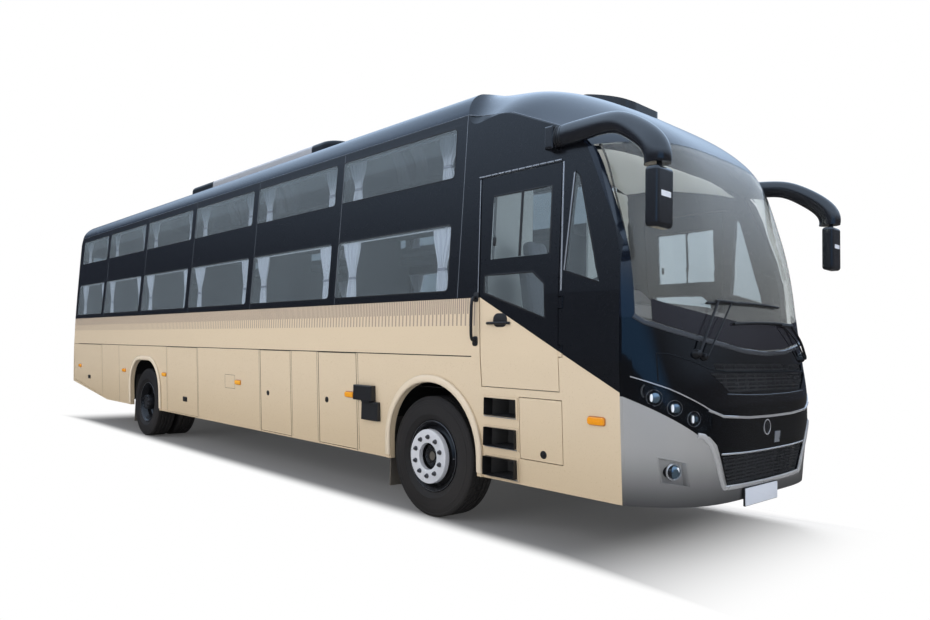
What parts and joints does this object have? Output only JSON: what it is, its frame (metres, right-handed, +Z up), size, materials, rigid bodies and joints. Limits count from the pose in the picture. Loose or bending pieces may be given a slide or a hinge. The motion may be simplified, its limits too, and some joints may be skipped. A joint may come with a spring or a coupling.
{
  "type": "coach bus",
  "caption": "High-deck sleeper coach with two tiers of curtained side windows, a swept glazed nose, side luggage flaps, hinged doors and twin rear wheels.",
  "frame": {"origin": "on the ground, midway along the length and across the width", "axes": "+X to the front of the bus, +Y to its left side, +Z up"},
  "size_m": [13.3448, 3.074, 3.985],
  "materials": {
    "beige_paint": "semi-gloss champagne beige body paint",
    "black_gloss": "gloss black body paint",
    "silver_paint": "satin silver-grey paint",
    "roof_paint": "gloss dark blue-grey paint",
    "tinted_glass": "tinted window glass",
    "clear_glass": "clear laminated glass",
    "frame_paint": "matt black chassis paint",
    "axle_iron": "painted cast iron and forged steel",
    "rim_steel": "silver painted steel wheel",
    "tyre_rubber": "black tyre rubber",
    "rubber": "black rubber",
    "lamp_lens": "clear lamp lens",
    "amber_lens": "amber lamp lens",
    "red_lens": "red lamp lens",
    "black_plastic": "black moulded plastic",
    "grille_metal": "dark metal mesh",
    "unit_plastic": "painted moulded cover",
    "cloth": "pale lilac curtain cloth",
    "berth_trim": "moulded cabin trim",
    "seat_cloth": "dark seat cloth",
    "floor_cover": "grey floor covering",
    "hold_metal": "plain sheet lining"
  },
  "bodies": {
    "body": {"berths": "berth_trim", "cabin_floor": "floor_cover", "chassis_frame": "frame_paint", "curtains": "cloth", "dashboard": "black_plastic", "drive_shaft": "axle_iron", "driver_seat": "seat_cloth", "engine": "axle_iron", "entry_steps": "floor_cover", "front_axle": "axle_iron", "front_bumper": "silver_paint", "front_cap": "black_gloss", "front_grilles": "grille_metal", "front_mask": "black_gloss", "headlamps": "lamp_lens", "leaf_springs": "frame_paint", "luggage_hold": "hold_metal", "mirrors": "black_plastic", "mud_flaps": "rubber", "rear_axle": "axle_iron", "rear_lamps": "red_lens", "rear_panel": "beige_paint", "roof": "roof_paint", "roof_pod": "black_plastic", "roof_unit": "unit_plastic", "side_box": "black_plastic", "side_lamps": "amber_lens", "side_wall_left": "beige_paint", "side_wall_right": "beige_paint", "window_panes": "tinted_glass", "windscreen": "clear_glass", "wipers": "black_plastic"},
    "driver_door_leaf": {"driver_door": "beige_paint", "driver_door_glass": "tinted_glass"},
    "passenger_door_leaf": {"passenger_door": "beige_paint", "passenger_door_glass": "tinted_glass"},
    "hatch": {"hatch_right": "beige_paint"},
    "engine_lid_leaf": {"engine_lid": "beige_paint"},
    "steered_right": {"knuckle_right": "axle_iron"},
    "steered_left": {"knuckle_left": "axle_iron"},
    "front_wheel_right": {"tyre_front_right": "tyre_rubber", "rim_front_right": "rim_steel"},
    "front_wheel_left": {"tyre_front_left": "tyre_rubber", "rim_front_left": "rim_steel"},
    "rear_wheels_right": {"tyres_rear_right": "tyre_rubber", "rims_rear_right": "rim_steel"},
    "rear_wheels_left": {"tyres_rear_left": "tyre_rubber", "rims_rear_left": "rim_steel"},
    "track_rod": {"tie_rod": "axle_iron"},
    "steering_rim": {"steering_wheel": "black_plastic"},
    "luggage_flap_left_1": {"flap_left_1": "beige_paint"},
    "luggage_flap_left_2": {"flap_left_2": "beige_paint"},
    "luggage_flap_left_3": {"flap_left_3": "beige_paint"},
    "luggage_flap_left_4": {"flap_left_4": "beige_paint"},
    "luggage_flap_right_1": {"flap_right_1": "beige_paint"},
    "luggage_flap_right_2": {"flap_right_2": "beige_paint"},
    "luggage_flap_right_3": {"flap_right_3": "beige_paint"},
    "luggage_flap_right_4": {"flap_right_4": "beige_paint"}
  },
  "joints": [
    {"name": "steer_right", "type": "hinge", "parent": "body", "child": "steered_right", "pos_m": [4.22759, -0.9, 0.522], "axis": [0, 0, 1], "range_deg": [-38, 38]},
    {"name": "steer_left", "type": "hinge", "parent": "body", "child": "steered_left", "pos_m": [4.22759, 0.9, 0.522], "axis": [0, 0, 1], "range_deg": [-38, 38]},
    {"name": "track_rod_swing", "type": "hinge", "parent": "steered_right", "child": "track_rod", "pos_m": [3.97759, -0.9, 0.365], "axis": [0, 0, 1], "range_deg": [-38, 38]},
    {"name": "steering_wheel_turn", "type": "hinge", "parent": "body", "child": "steering_rim", "pos_m": [5.55759, -0.67, 1.94], "axis": [-0.5501, 0, 0.8351], "range_deg": [-684, 684]},
    {"name": "front_wheel_right_spin", "type": "hinge", "parent": "steered_right", "child": "front_wheel_right", "pos_m": [4.22759, -1.091, 0.522], "axis": [0, 1, 0], "continuous": true},
    {"name": "rear_wheels_right_spin", "type": "hinge", "parent": "body", "child": "rear_wheels_right", "pos_m": [-2.62241, -0.92, 0.522], "axis": [0, 1, 0], "continuous": true},
    {"name": "front_wheel_left_spin", "type": "hinge", "parent": "steered_left", "child": "front_wheel_left", "pos_m": [4.22759, 1.091, 0.522], "axis": [0, 1, 0], "continuous": true},
    {"name": "rear_wheels_left_spin", "type": "hinge", "parent": "body", "child": "rear_wheels_left", "pos_m": [-2.62241, 0.92, 0.522], "axis": [0, 1, 0], "continuous": true},
    {"name": "driver_door_swing", "type": "hinge", "parent": "body", "child": "driver_door_leaf", "pos_m": [5.71259, -1.288, 1.5], "axis": [0, 0, 1], "range_deg": [0, 75]},
    {"name": "passenger_door_swing", "type": "hinge", "parent": "body", "child": "passenger_door_leaf", "pos_m": [5.71259, 1.288, 1.5], "axis": [0, 0, -1], "range_deg": [0, 75]},
    {"name": "flap_right_1_lift", "type": "hinge", "parent": "body", "child": "luggage_flap_right_1", "pos_m": [-5.57841, -1.288, 1.383], "axis": [-1, 0, 0], "range_deg": [0, 88]},
    {"name": "flap_right_2_lift", "type": "hinge", "parent": "body", "child": "luggage_flap_right_2", "pos_m": [-1.16641, -1.288, 1.383], "axis": [-1, 0, 0], "range_deg": [0, 88]},
    {"name": "flap_right_3_lift", "type": "hinge", "parent": "body", "child": "luggage_flap_right_3", "pos_m": [1.52109, -1.288, 1.383], "axis": [-1, 0, 0], "range_deg": [0, 88]},
    {"name": "flap_right_4_lift", "type": "hinge", "parent": "body", "child": "luggage_flap_right_4", "pos_m": [2.79909, -1.288, 1.383], "axis": [-1, 0, 0], "range_deg": [0, 88]},
    {"name": "flap_left_1_lift", "type": "hinge", "parent": "body", "child": "luggage_flap_left_1", "pos_m": [-5.57841, 1.288, 1.383], "axis": [1, 0, 0], "range_deg": [0, 88]},
    {"name": "flap_left_2_lift", "type": "hinge", "parent": "body", "child": "luggage_flap_left_2", "pos_m": [-1.16641, 1.288, 1.383], "axis": [1, 0, 0], "range_deg": [0, 88]},
    {"name": "flap_left_3_lift", "type": "hinge", "parent": "body", "child": "luggage_flap_left_3", "pos_m": [1.52109, 1.288, 1.383], "axis": [1, 0, 0], "range_deg": [0, 88]},
    {"name": "flap_left_4_lift", "type": "hinge", "parent": "body", "child": "luggage_flap_left_4", "pos_m": [2.79909, 1.288, 1.383], "axis": [1, 0, 0], "range_deg": [0, 88]},
    {"name": "hatch_lift", "type": "hinge", "parent": "body", "child": "hatch", "pos_m": [5.50609, -1.2686, 1.089], "axis": [-1, 0, 0], "range_deg": [0, 80]},
    {"name": "engine_lid_lift", "type": "hinge", "parent": "body", "child": "engine_lid_leaf", "pos_m": [-6.64162, 0, 1.46322], "axis": [0, 1, 0], "range_deg": [0, 75]}
  ],
  "couplings": [
    {"joint": "steer_left", "follows": "steer_right", "ratio": 1},
    {"joint": "track_rod_swing", "follows": "steer_right", "ratio": -1},
    {"joint": "steering_wheel_turn", "follows": "steer_right", "ratio": 18}
  ]
}
